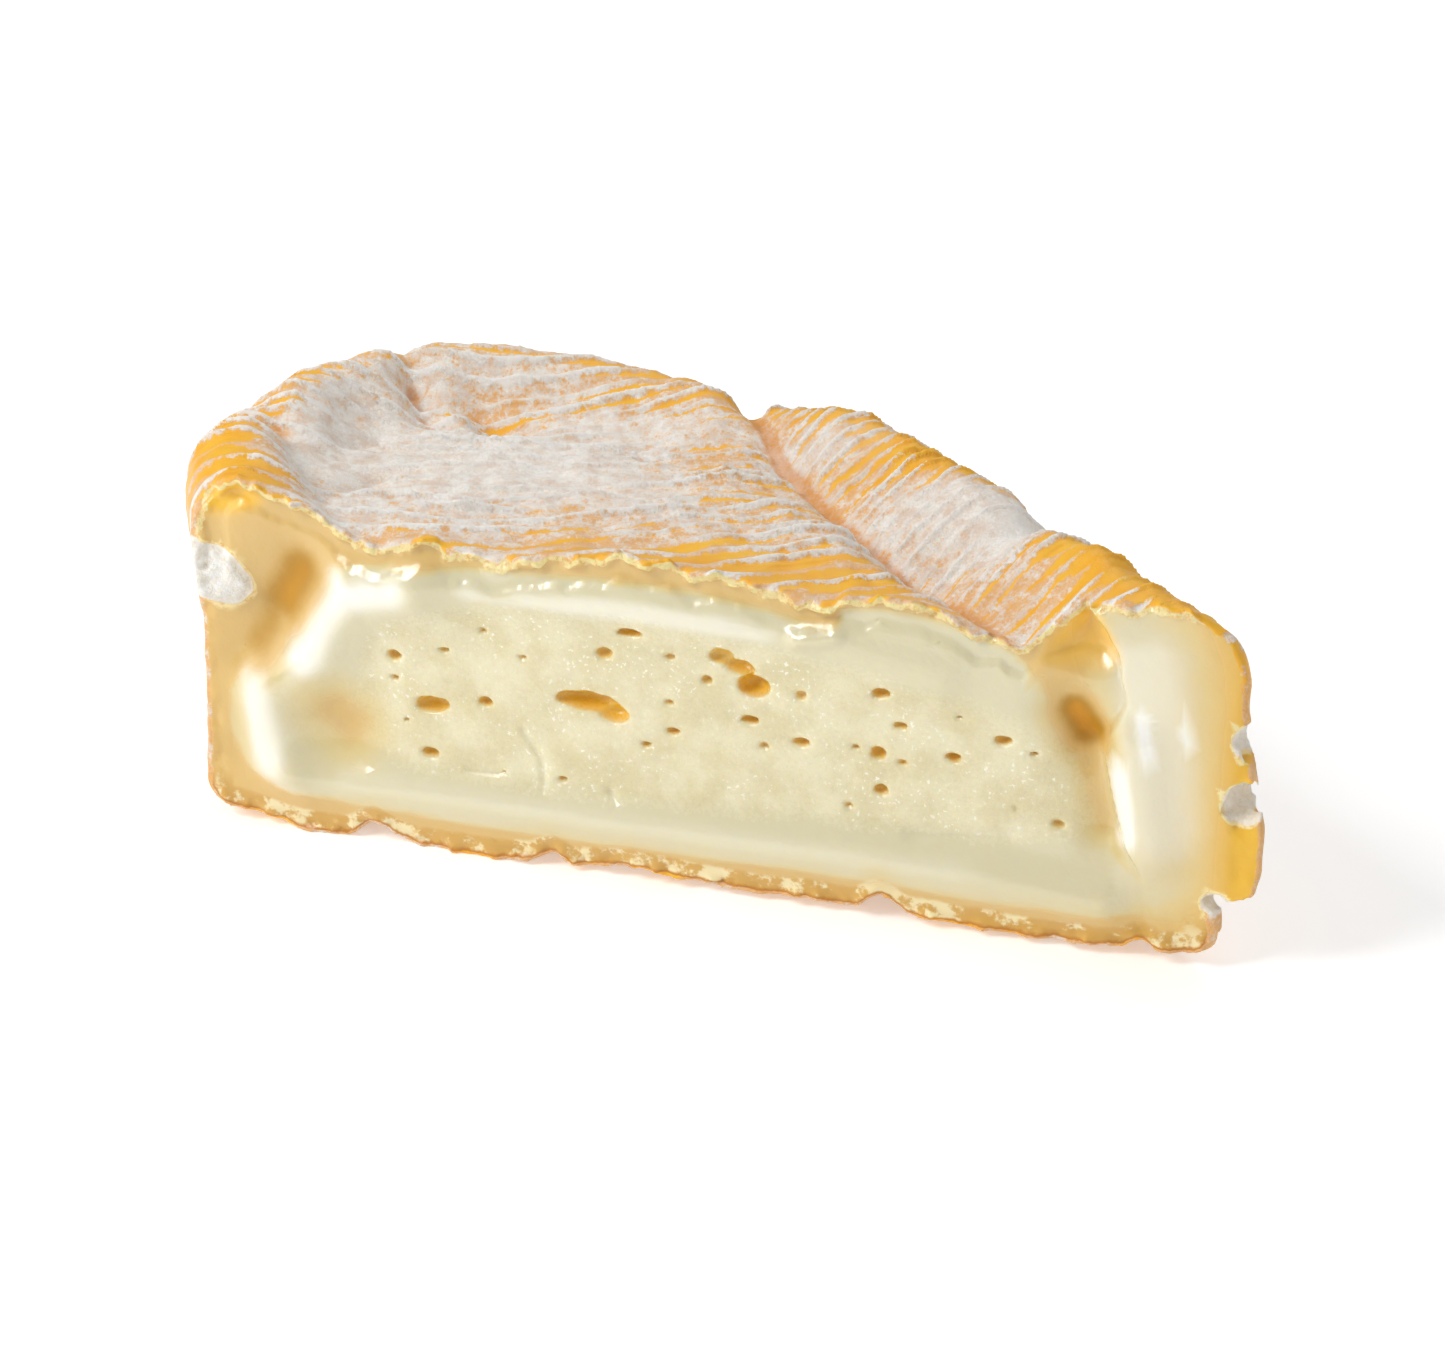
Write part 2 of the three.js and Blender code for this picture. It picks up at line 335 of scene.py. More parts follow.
def top_height(x, y, plan):
    z = TOP + around(x, y, RIM_RISES) * np.exp(-(((plan - RIM_INSET) / RIM_WIDTH) ** 2))
    for start, towards, rise, width in FLANKS:
        beyond = (x - start[0]) * towards[0] + (y - start[1]) * towards[1]
        z = z + rise * smoothstep(beyond, 0, width)
    z = z - swell(x, y, FOLDS, shape=1.5)
    z = z + 0.6 * noise(x, y, 0, 13, 21) + 0.45 * noise(x, y, 0, 5.5, 22) + 0.3 * noise(x, y, 0, 2.2, 23)
    z = z + 0.12 * noise(x, y, 0, 1.1, 25)
    phase = rib_phase(x, y)
    z = z + RIB_HEIGHT * rib_fade(x, y) * rib_strength(x, y, phase) * rib_height(phase)
    # The rind's torn edge along the cut.
    at_cut = np.exp(-np.maximum(y, 0) / 3.5)
    z = z + at_cut * (np.interp(x, *zip(*TOP_EDGE)) + 0.7 - z)
    return z + 0.6 * layered_noise(x, y, 0, 2.0, 24) * np.exp(-np.maximum(y, 0) / 0.9)


def bottom_height(x, y):
    inwards = np.maximum(y, 0)
    z = np.interp(x, *zip(*UNDERSIDE)) * np.exp(-inwards / 7)
    for at, rise, width, reach in UNDER_FOLDS:
        along = np.clip(1 - inwards / reach, 0, 1)
        z = np.maximum(z, rise * along * np.exp(-(((x - at - 0.25 * inwards) / width) ** 2)))
    z = z - 0.15 + 0.25 * layered_noise(x, y, 0, 5, 31)
    return np.maximum(z, 0)


def wall_relief(x, y, z):
    """How far the side wall stands out from the outline."""
    out = np.interp(z, *zip(*RIGHT_WALL)) * smoothstep(x, 20, 50) * np.exp(-np.maximum(y, 0) / 12)
    out = out + np.interp(z, *zip(*LEFT_WALL)) * smoothstep(-x, 30, 50) * smoothstep(y, 0, 6)
    return out + 0.5 * noise(x, y, 0.5 * z, 9, 41) + 0.25 * layered_noise(x, y, z, 3.2, 42, 2)


def flap_depth(x, z):
    """Distance inside the ragged edge of the mouldy flap."""
    return depth_inside(x, z, CURL) + 0.6 * noise(x, 0, z, 1.6, 71)


def bite_distance(x, y, z, bite):
    """Distance from the middle of a bite, which is twice as long in y as it is across."""
    bx, by, bz, _ = bite
    return np.sqrt((x - bx) ** 2 + ((y - by) / 2) ** 2 + (z - bz) ** 2)


def depth_below(side, top, bottom, shoulder, z):
    """Depth below the wall, the top and the underside, with the edges between them rounded."""
    depth = round_meet(side, TOP_SLOPE * (top - z), shoulder)
    return round_meet(depth, z - bottom, FOOT)


class Outside:
    """Depth below the outside of the uncut cheese, over fixed places in plan."""

    def __init__(self, x, y):
        self.x, self.y = x, y
        self.plan = depth_inside(x, y, OUTLINE)
        self.top = top_height(x, y, self.plan)
        self.bottom = bottom_height(x, y)
        self.shoulder = SHOULDER * around(x, y, SHOULDER_SHARES)

    def depth(self, z, relief=True):
        side = self.plan
        if relief:
            side = side + wall_relief(self.x, self.y, z)
        return depth_below(side, self.top, self.bottom, self.shoulder, z)


# ---------------------------------------------------------------- the face of the cut
def core_depth(x, z):
    return depth_inside(x, z, CORE) + 0.5 * noise(x, 0, z, 5, 51)


def cut_relief(x, z, rind, core):
    """How far the face of the cut lies behind its plane. rind is the depth below the outside."""
    face = swell(x, z, HOLLOWS)
    for ring, depth in POCKETS:
        inside = depth_inside(x, z, ring) + 0.25 * noise(x, 0, z, 1.8, 52)
        face = face + depth * smoothstep(inside, -0.6, 2.6)
    past_edge = x - np.interp(z, *zip(*SLAB_EDGE)) + 0.4 * noise(x, 0, z, 3, 53)
    step = np.interp(z, *zip(*SLAB_STEP)) * smoothstep(z, 6, 12)
    face = face + step * (1 - smoothstep(past_edge, -0.5, 0.35)) * np.exp(np.minimum(past_edge, 0) / 4)
    in_core = smoothstep(core, -1.6, 1.4)
    face = face + 0.2 * in_core
    face = face + swell(x, z, CRACKS) * in_core
    grain = 0.14 * noise(x, 0, z, 3.2, 54) + 0.06 * noise(x, 0, z, 1.1, 55)
    face = face + in_core * grain + (1 - in_core) * 0.09 * noise(x, 0, z, 6, 56)
    # Under the top rind the paste is a firmer line that lies a little lower than the cream.
    firm = smoothstep(rind, 0.8, 1.6) * (1 - smoothstep(rind, 2.6, 3.8)) * smoothstep(z, 27, 30)
    face = face + 0.45 * firm * (1 - smoothstep(x, 34, 40))
    crust = 1 - smoothstep(rind, 0.8, 1.6)
    low_crust = (1 - smoothstep(rind, 1.5, 3.2)) * (1 - smoothstep(z, 4, 7))
    crumbs = layered_noise(x, 0, z, 1.7, 57, 3)
    crumb_size = 0.35 + 0.5 * smoothstep(z, 26, 32)
    return face + crumb_size * crust * crumbs + 0.25 * low_crust * crumbs


def gas_holes():
    """The large holes, then small flattened ones scattered over the core, clear of each other."""
    random = np.random.default_rng(EYE_SEED)
    xs, zs = zip(*CORE)
    holes = list(LARGE_EYES)
    while len(holes) < len(LARGE_EYES) + SMALL_EYES:
        x, z = random.uniform(min(xs), max(xs)), random.uniform(min(zs), max(zs))
        width = random.uniform(*SMALL_EYE_WIDTHS)
        height = width * random.uniform(*SMALL_EYE_HEIGHTS)
        clear = all(math.hypot(x - hole[0], z - hole[1]) > (width + hole[2]) / 2 + 1 for hole in holes)
        if clear and depth_inside(x, z, CORE) > 1:
            holes.append((x, z, width, height, 0.65 * width))
    return holes


def eye_depth(x, y, z, eye, face):
    """Depth inside a gas hole that opens in the face of the cut."""
    ex, ez, width, height, deep = eye
    warp = 0.12 * min(width, 3)
    u = (x - ex + warp * noise(x, y, z, 1.6, 61)) / (width / 2)
    w = (z - ez + 0.5 * warp * noise(x, y, z, 1.3, 62)) / (height / 2)
    v = (y - face) / deep
    return (1 - np.sqrt(u * u + v * v + w * w)) * min(width, height, 2 * deep) / 2


# ---------------------------------------------------------------- field and mesh
class Grid:
    """A box of evenly spaced points, as three arrays that broadcast against each other."""

    def __init__(self, low, high, step):
        self.low, self.step = low, step
        axes = [np.arange(a, b, step, dtype=np.float32) for a, b in zip(low, high)]
        self.x = axes[0][:, None, None]
        self.y = axes[1][None, :, None]
        self.z = axes[2][None, None, :]

    def near(self, x, z, reach_x, reach_y, reach_z):
        """Slices of the part of the grid round a place on the cut."""
        slices = []
        places = ((x, reach_x), (0, reach_y), (z, reach_z))
        for low, axis, (at, reach) in zip(self.low, (self.x, self.y, self.z), places):
            first = int((at - reach - low) / self.step)
            last = int((at + reach - low) / self.step) + 2
            slices.append(slice(max(first, 0), min(last, axis.size)))
        return tuple(slices)


def cheese_field(grid):
    """Depth inside the finished half, on the whole grid."""
    outside = Outside(grid.x, grid.y)
    solid = outside.depth(grid.z, relief=False).astype(np.float32)
    i, j, k = np.nonzero(np.abs(solid) < RELIEF_REACH)
    px, py, pz = grid.x[i, 0, 0], grid.y[0, j, 0], grid.z[0, 0, k]
    side = outside.plan[i, j, 0] + wall_relief(px, py, pz)
    top, bottom, shoulder = (a[i, j, 0] for a in (outside.top, outside.bottom, outside.shoulder))
    solid[i, j, k] = depth_below(side, top, bottom, shoulder, pz)

    rind = Outside(grid.x[:, :, 0], np.zeros((1, 1), np.float32)).depth(grid.z[0], relief=False)
    core = core_depth(grid.x[:, 0], grid.z[0, 0][None, :])
    face = cut_relief(grid.x[:, 0], grid.z[0, 0][None, :], rind, core)[:, None, :]
    flap_height = 0.8 + 0.4 * noise(grid.x, 0, grid.z, 1.2, 73)
    face = face - smoothstep(flap_depth(grid.x, grid.z), -0.4, 0.5) * flap_height
    cut = grid.y - face
    solid = np.minimum(solid, cut)
    for eye in gas_holes():
        x, z, width, height, deep = eye
        part = grid.near(x, z, width, deep + 3, height + 0.5)
        gx, gy, gz = grid.x[part[0]], grid.y[:, part[1]], grid.z[:, :, part[2]]
        hole = eye_depth(gx, gy, gz, eye, face[part[0], :, part[2]])
        solid[part] = np.minimum(solid[part], -hole)
    for bite in SIDE_BITES:
        bx, by, bz, radius = bite
        part = grid.near(bx, bz, radius + 1, radius + by + 6, radius + 1)
        gx, gy, gz = grid.x[part[0]], grid.y[:, part[1]], grid.z[:, :, part[2]]
        away = bite_distance(gx, gy, gz, bite)
        solid[part] = np.minimum(solid[part], away - radius + 0.8 * noise(gx, gy, gz, 1.7, 72))
    return solid


def largest_piece(faces, count):
    """Which of the points belong to the largest connected piece."""
    label = np.arange(count)
    while True:
        lowest = label[faces].min(1)
        before = label.copy()
        np.minimum.at(label, faces.ravel(), np.repeat(lowest, faces.shape[1]))
        label = label[label]
        if (label == before).all():
            break
    names, sizes = np.unique(label, return_counts=True)
    return label == names[sizes.argmax()]


def cheese_mesh():
    grid = Grid(GRID_LOW, GRID_HIGH, VOXEL * (1))
    field = cheese_field(grid)
    volume = openvdb.FloatGrid(background=FIELD_LIMIT)
    volume.copyFromArray(np.ascontiguousarray(np.clip(-field, -FIELD_LIMIT, FIELD_LIMIT)))
    points, quads = volume.convertToQuads(isovalue=0)
    kept = largest_piece(quads, len(points))
    quads = quads[kept[quads[:, 0]]]
    number = np.cumsum(kept) - 1
    points, quads = points[kept] * grid.step + np.array(GRID_LOW), number[quads]

    mesh = bpy.data.meshes.new("cheese")
    mesh.from_pydata(points.tolist(), [], quads[:, ::-1].tolist())
    mesh.update()
    cheese = bpy.data.objects.new("cheese", mesh)
    bpy.context.scene.collection.objects.link(cheese)
    triangles = 2 * len(quads)
    if triangles > MAX_TRIANGLES:
        fewer = cheese.modifiers.new("fewer", "DECIMATE")
        fewer.ratio = MAX_TRIANGLES / triangles
        fewer.use_collapse_triangulate = True
        graph = bpy.context.evaluated_depsgraph_get()
        whole = bpy.data.meshes.new_from_object(cheese.evaluated_get(graph))
        cheese.modifiers.clear()
        cheese.data = whole
    return cheese


# ---------------------------------------------------------------- masks that drive the colours
# Rind worn through to yellow and orange: middle in plan, half sizes, strength.
WORN = [
    ((-60, 15), (6, 7), 0.8), ((-55, 6), (6, 4), 0.8), ((-62, 32), (4, 10), 0.7), ((-50, 1), (5, 3), 0.9),
    ((-32, 0), (5, 4), 0.8), ((-14, 3), (11, 6), 0.8), ((2, 4), (10, 6), 0.85), ((18, 5), (12, 8), 1.15),
    ((50, 2), (8, 8), 0.9), ((38, 8), (7, 6), 0.6), ((24, 32), (12, 5), 0.8), ((2, 47), (14, 5), 0.7),
    ((10, 34), (9, 7), 0.6), ((-20, 50), (12, 6), 0.6), ((-38, 41), (6, 5), 0.5),
    ((-45, 57), (14, 4), 0.7),
    ((-8, 33), (8, 6), 0.6), ((2, 22), (9, 6), 0.6), ((46, 12), (7, 5), 0.7), ((-22, 14), (12, 5), 0.4),
]
# How bare the rim's crest is, in each direction from CENTRE.
RIM_YELLOW = [
    (-20, 0.6), (8, 0.6), (14, 0.5), (20, 0.1), (26, 0.2), (34, 0.85), (75, 0.85), (92, 0.3), (110, 0.5),
    (150, 0.5), (180, 0.4), (200, 0.4), (340, 0.6),
]
# Thick white mould: middle in plan, half sizes, strength.
FUZZY = [
    ((-30, 24), (16, 11), 0.6), ((31, 20), (7, 5), 1.0), ((-50, 20), (7, 10), 0.4),
    ((20, 26), (8, 4), 0.5), ((6, 38), (10, 4), 0.5),
]


def patches(x, y, places):
    total = 0
    for (px, py), (half_x, half_y), strength in places:
        total = total + strength * np.exp(-(((x - px) / half_x) ** 2) - ((y - py) / half_y) ** 2)
    return total


def vertex_places(mesh):
    """Every vertex's place, one row each."""
    places = np.empty(len(mesh.vertices) * 3, np.float32)
    mesh.vertices.foreach_get("co", places)
    return places.reshape(-1, 3)


def add_values(mesh, name, values):
    attribute = mesh.attributes.new(name, "FLOAT", "POINT")
    attribute.data.foreach_set("value", np.ascontiguousarray(values, np.float32).ravel())


def paint(cheese):
    """Writes each point's depths and masks on the mesh, for the material to read."""
    mesh = cheese.data
    x, y, z = vertex_places(mesh).T
    outside = Outside(x, y)
    depth = outside.depth(z)
    core = core_depth(x, z)
    rind = Outside(x, np.zeros_like(x)).depth(z, relief=False)
    behind = y - cut_relief(x, z, rind, core)
    well = smoothstep(behind, 0.1, 0.55) * smoothstep(depth, 1.0, 2.0)

    side = outside.plan
    cream = smoothstep(depth_inside(x, z, CREAM) + 0.3 * noise(x, 0, z, 3, 81), -0.9, 0.5)
    slab = smoothstep(depth_inside(x, z, SLAB) + 0.6 * noise(x, 0, z, 4, 82), -5.5, 1.5)
    paste = 0.5 * (1 - np.maximum(cream, slab))
    walls = np.interp(x, (-60, -40), (0.5, 0.74)) * np.exp(-np.maximum(side - 1.2, 0) / 3.0)
    above_bottom = np.maximum(z - outside.bottom - 1.0, 0)
    low = np.interp(x, (-40, 20, 50), (0.55, 0.66, 0.86)) * np.exp(-above_bottom / 2.2)
    # Tint of the hollows: partly the paste's golden tone, partly painted shade in the hollows.
    hollow_tint_and_shade = 0
    for (line, _, width), strength in zip(HOLLOWS, HOLLOW_TINT_AND_SHADE):
        away = distance_to_line(x, z, line)
        hollow_tint_and_shade = np.maximum(hollow_tint_and_shade, strength * np.exp(-((away / width) ** 2)))
    # Golden tint in the pockets, and inside the gas holes with more in deeper ones: partly the paste's
    # golden tone, partly painted shade. Near the side walls it is the paste's own colour.
    pocket = 0
    for ring, _ in POCKETS:
        pocket = pocket + smoothstep(depth_inside(x, z, ring), -1.2, 0.8) * smoothstep(z, 30, 35)
    # Warmer paste under the rind, along the walls and along the bottom, and painted shade in the hollows.
    warmth_and_hollow_shade = np.maximum.reduce([paste, walls, low, hollow_tint_and_shade])
    golden_and_recess_shade = np.clip(pocket + (0.6 + 0.4 * smoothstep(behind, 0.4, 1.6)) * well, 0, 1)
    edge_gold = np.interp(x, (-60, -40, 20, 50), (0.15, 0.1, 0.1, 0.95))
    golden_and_recess_shade = np.maximum(golden_and_recess_shade, edge_gold * np.exp(-np.maximum(side - 0.5, 0) / 3.6))
    # Painted highlight: whiter cream where the lamps' highlights fall on the swellings, partly the
    # cream's lighter tone.
    milk_and_highlight = 0
    for line, width, strength in MILK_AND_HIGHLIGHTS:
        milk_and_highlight = milk_and_highlight + strength * np.exp(-((distance_to_line(x, z, line) / width) ** 4))
    milk_and_highlight = np.clip(milk_and_highlight, 0, 1) * (1 - smoothstep(hollow_tint_and_shade, 0.2, 0.6)) * smoothstep(depth, 3, 5)
    mould = smoothstep(flap_depth(x, z), -1.1, 0.3) * (y < 1.5)
    for bite in SIDE_BITES:
        away, radius = bite_distance(x, y, z, bite), bite[3]
        mould = np.maximum(mould, 0.55 * (1 - smoothstep(away, radius + 0.1, radius + 0.7)))

    upper = smoothstep(z, 26, 33)
    phase = rib_phase(x, y)
    add_values(mesh, "depth", depth)
    add_values(mesh, "core", core)
    add_values(mesh, "warmth_and_hollow_shade", warmth_and_hollow_shade)
    add_values(mesh, "mould", mould)
    add_values(mesh, "golden_and_recess_shade", golden_and_recess_shade)
    add_values(mesh, "milk_and_highlight", milk_and_highlight)
    add_values(mesh, "phase", phase)
    add_values(mesh, "ribbed", rib_fade(x, y) * smoothstep(z, 20, 30))
    add_values(mesh, "wall", 1 - upper)
    add_values(mesh, "crest", rib_life(x, y, np.floor(phase + 0.5), 13))
    add_values(mesh, "lens", rib_life(x, y, np.floor(phase), 83))
    wall_worn = 0.35 + 0.5 * np.exp(-np.maximum(y, 0) / 8)
    add_values(mesh, "worn", patches(x, y, WORN) * upper + wall_worn * (1 - upper))
    add_values(mesh, "fuzzy", patches(x, y, FUZZY) * upper)
    seams = [(line, depth, 0.45 * width) for line, depth, width in FOLDS if width < 4]
    add_values(mesh, "fold", np.clip(swell(x, y, seams) / 3.0, 0, 1) * upper)
    add_values(mesh, "under", 1 - smoothstep(z, 3, 6.5))
    add_values(mesh, "rim", (1 - smoothstep(side, 6.5, 13)) * around(x, y, RIM_YELLOW) * upper)
    add_values(mesh, "sides", np.maximum(1 - smoothstep(z, 28, 33), smoothstep(x, 51, 55)))


# ---------------------------------------------------------------- material
def srgb(red, green, blue):
    """A colour given as 0 to 255 on screen, as the linear colour that a shader takes."""
    linear = []
    for level in (red, green, blue):
        dark = level / 255 / 12.92
        bright = ((level / 255 + 0.055) / 1.055) ** 2.4
        linear.append(dark if level <= 10 else bright)
    return (*linear, 1.0)


class Nodes:
    """Short calls for building a node tree."""

    def __init__(self, tree):
        self.tree = tree

    def put(self, value, socket):
        if isinstance(value, bpy.types.NodeSocket):
            self.tree.links.new(value, socket)
        else:
            socket.default_value = value

    def attribute(self, name):
        node = self.tree.nodes.new("ShaderNodeAttribute")
        node.attribute_name = name
        return node.outputs["Fac"]

    def maths(self, operation, *values):
        node = self.tree.nodes.new("ShaderNodeMath")
        node.operation = operation
        for value, socket in zip(values, node.inputs):
            self.put(value, socket)
        return node.outputs[0]

    def add(self, a, b):
        return self.maths("ADD", a, b)

    def times(self, a, b):
        return self.maths("MULTIPLY", a, b)

    def ramp(self, value, low, high, start=0.0, end=1.0):
        """Smooth change from start to end as value goes from low to high."""
        node = self.tree.nodes.new("ShaderNodeMapRange")
        node.interpolation_type = "SMOOTHSTEP"
        for value, socket in zip((value, low, high, start, end), node.inputs):
            self.put(value, socket)
        return node.outputs[0]

    def mix(self, share, first, second):
        node = self.tree.nodes.new("ShaderNodeMix")
        node.data_type = "RGBA"
        self.put(share, node.inputs["Factor"])
        self.put(first, node.inputs["A"])
        self.put(second, node.inputs["B"])
        return node.outputs["Result"]

    def noise(self, size, detail=2.0, stretch=None, rough=0.5, warp=0.0):
        """Noise with lumps of the given size in millimetres."""
        place = self.tree.nodes.new("ShaderNodeTexCoord").outputs["Object"]
        if stretch is not None:
            mapping = self.tree.nodes.new("ShaderNodeMapping")
            mapping.inputs["Rotation"].default_value = (0, 0, stretch[0])
            mapping.inputs["Scale"].default_value = stretch[1]
            self.put(place, mapping.inputs["Vector"])
            place = mapping.outputs[0]
        node = self.tree.nodes.new("ShaderNodeTexNoise")
        self.put(place, node.inputs["Vector"])
        node.inputs["Scale"].default_value = 1 / (size * MM)
        node.inputs["Detail"].default_value = detail
        node.inputs["Roughness"].default_value = rough
        node.inputs["Distortion"].default_value = warp
        return node.outputs["Fac"]

    def bump(self, height, distance, strength, normal=None):
        node = self.tree.nodes.new("ShaderNodeBump")
        self.put(height, node.inputs["Height"])
        node.inputs["Distance"].default_value = distance * MM
        self.put(strength, node.inputs["Strength"])
        if normal is not None:
            self.put(normal, node.inputs["Normal"])
        return node.outputs[0]


def rind_colour(n):
    """Colour of the rind, and how far its yellow skin shows through the mould."""
    fine = n.noise(0.45, 4, rough=0.7)
    ragged = n.noise(1.7, 5, rough=0.72)
    ribbed = n.attribute("ribbed")
    phase = n.add(n.attribute("phase"), n.maths("MULTIPLY_ADD", ragged, 0.6, -0.3))
    part = n.maths("FRACT", phase)
    bare = n.add(n.attribute("worn"), n.times(n.attribute("fuzzy"), -0.8))
    bare = n.add(bare, n.times(n.attribute("rim"), 1.1))
    wall_patches = n.maths("MULTIPLY_ADD", n.noise(9, 5, rough=0.6), 2.4, -1.2)
    bare = n.add(bare, n.times(n.attribute("wall"), wall_patches))
    fine_speckle = n.maths("MULTIPLY_ADD", fine, 0.5, -0.25)
    coarse_speckle = n.maths("MULTIPLY_ADD", ragged, 0.7, -0.35)
    bare = n.add(bare, n.add(fine_speckle, coarse_speckle))
    # Each band of bare skin lies in front of a crest, and widens and closes along it.
    width = n.add(n.times(n.attribute("lens"), 0.42), n.maths("MULTIPLY_ADD", bare, 0.66, -0.08))
    band = n.times(n.ramp(part, 0.12, 0.22), n.ramp(n.maths("SUBTRACT", part, width), 0.1, 0.0))
    band = n.times(band, ribbed)
    crest = n.times(n.add(n.ramp(part, 0.18, 0.04), n.ramp(part, 0.7, 0.95)), ribbed)
    solid = n.ramp(n.add(bare, n.times(crest, -0.25)), 0.9, 1.1)
    shows = n.maths("MAXIMUM", band, solid)
    thin = n.ramp(n.add(n.times(fine, 0.6), n.add(n.times(ragged, 0.8), n.times(bare, 0.3))), 0.68, 0.95)
    thin = n.times(thin, n.ramp(n.attribute("fuzzy"), 0, 1, 0.9, 0.2))
    mould = n.mix(n.ramp(n.noise(2.4, 5, rough=0.7), 0.35, 0.6), srgb(238, 220, 204), srgb(255, 251, 243))
    mould = n.mix(n.times(n.ramp(fine, 0.4, 0.6, 1, 0), 0.3), mould, srgb(226, 202, 184))
    mould = n.mix(thin, mould, srgb(242, 184, 112))
    mould = n.mix(n.ramp(n.attribute("fuzzy"), 0.4, 1.0, 0, 0.6), mould, srgb(255, 252, 246))
    in_fold = n.times(n.ramp(n.add(n.attribute("fold"), n.times(ragged, 0.5)), 0.7, 1.2), 0.6)
    mould = n.mix(in_fold, mould, srgb(224, 150, 70))
    crest = n.times(crest, n.ramp(n.add(n.attribute("crest"), n.times(fine, 1.2)), 0.1, 1.0, 0.1, 0.95))
    mould = n.mix(crest, mould, srgb(254, 250, 244))
    yellow = n.mix(n.noise(3.5, 3), srgb(244, 196, 60), srgb(236, 158, 26))
    colour = n.mix(shows, mould, yellow)
    return colour, shows, crest


def paste_colour(n):
    warmth_and_hollow_shade = n.add(n.attribute("warmth_and_hollow_shade"), n.maths("MULTIPLY_ADD", n.noise(2.5, 3), 0.1, -0.05))
    in_core = n.ramp(n.attribute("core"), -1.4, 1.0)
    core = n.mix(n.ramp(n.noise(5, 3), 0.35, 0.65), srgb(219, 208, 167), srgb(230, 222, 188))
    # Painted glints: tiny near-white specks of sparkle on the core.
    painted_glints = n.times(n.ramp(n.noise(0.5, 2), 0.62, 0.7), n.ramp(n.noise(7, 2), 0.4, 0.6, 0.2, 0.8))
    core = n.mix(painted_glints, core, srgb(250, 248, 234))
    colour = n.mix(in_core, srgb(220, 212, 178), core)
    # The warmer steps are the paste's own tone under the rind, along the walls and along the bottom, and
    # painted shade in the hollows.
    colour = n.mix(n.ramp(warmth_and_hollow_shade, 0.02, 0.3), colour, srgb(222, 204, 150))
    colour = n.mix(n.ramp(warmth_and_hollow_shade, 0.25, 0.52), colour, srgb(220, 186, 118))
    colour = n.mix(n.ramp(warmth_and_hollow_shade, 0.5, 0.85), colour, srgb(186, 136, 34))
    colour = n.mix(n.ramp(warmth_and_hollow_shade, 0.76, 1.06), colour, srgb(226, 150, 0))
    # Golden tint in the pockets and gas holes is partly painted shade; near the side walls it is the
    # paste's own colour.
    colour = n.mix(n.attribute("golden_and_recess_shade"), colour, srgb(240, 192, 64))
    # Painted highlight on the swellings, partly the cream's lighter tone.
    return n.mix(n.attribute("milk_and_highlight"), colour, srgb(250, 248, 238)), in_core


